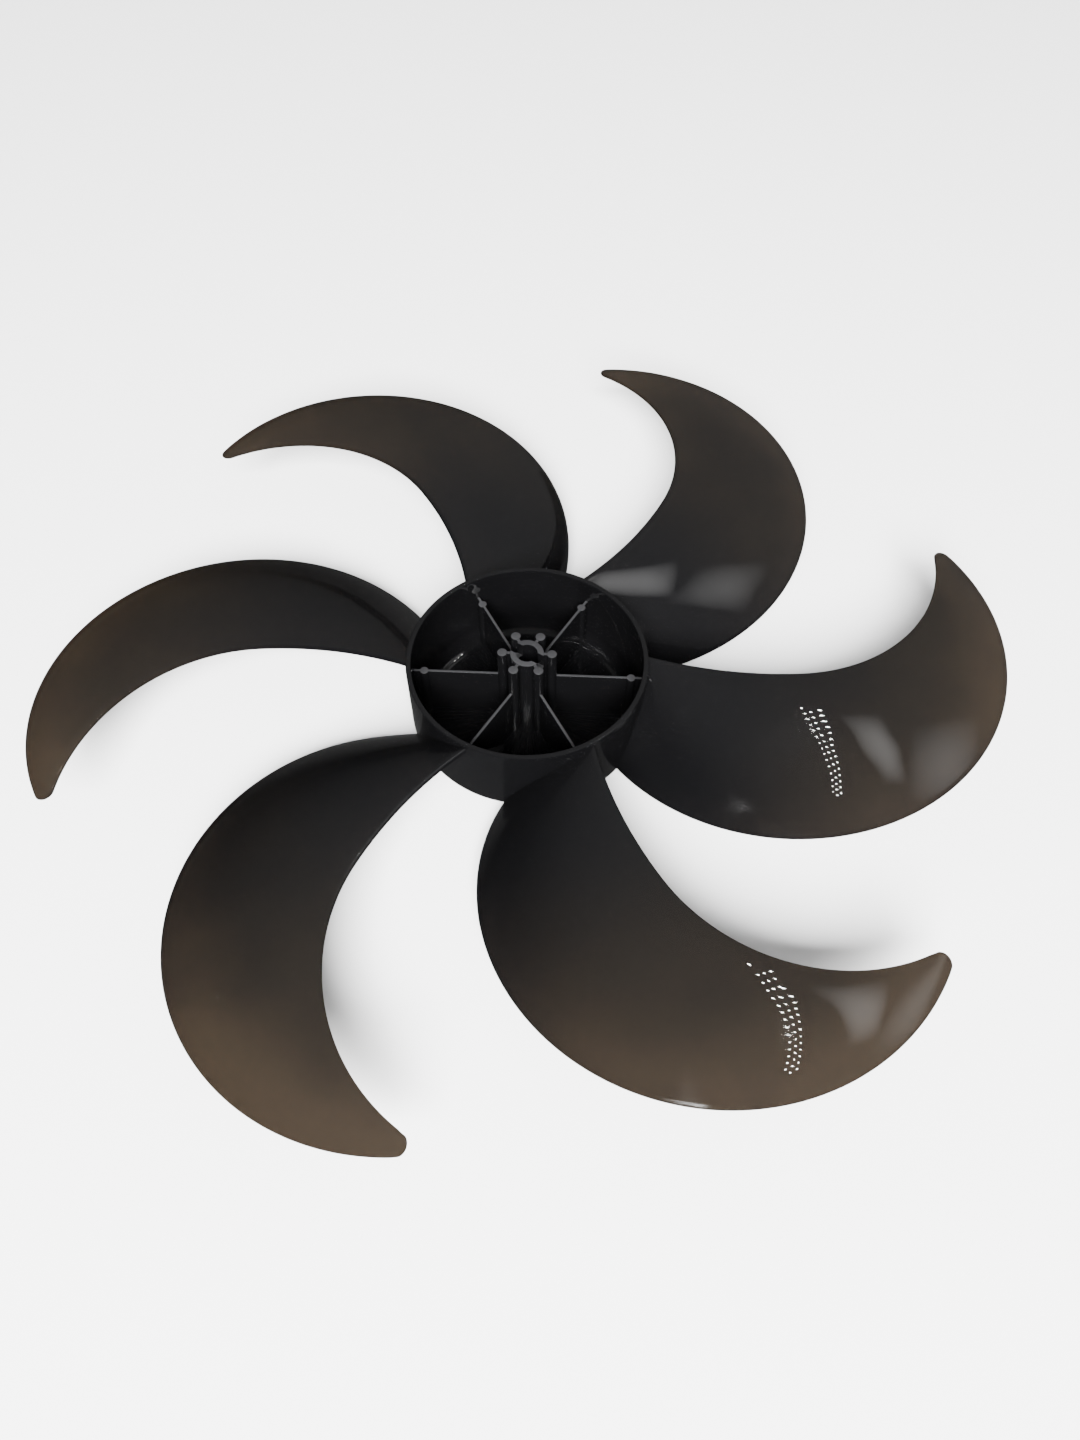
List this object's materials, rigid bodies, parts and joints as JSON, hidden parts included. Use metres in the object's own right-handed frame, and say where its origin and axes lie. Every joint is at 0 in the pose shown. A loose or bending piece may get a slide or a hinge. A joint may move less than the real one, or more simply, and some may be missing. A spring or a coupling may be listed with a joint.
{
  "type": "axial fan impeller",
  "caption": "Axial fan impeller with wide forward-swept crescent blades around an open hub cup, a ribbed centre boss, a bore for the motor shaft and a slot for its cross pin",
  "frame": {"origin": "centre of the hub's front face, on the shaft axis", "axes": "+Z along the shaft from the front face to the open rear of the hub, +X along the motor shaft's cross pin"},
  "size_m": [0.3616, 0.3706, 0.0394],
  "materials": {
    "smoked_plastic": "glossy smoky brown-grey translucent moulded plastic"
  },
  "bodies": {
    "root": {"impeller": "smoked_plastic"}
  },
  "joints": []
}
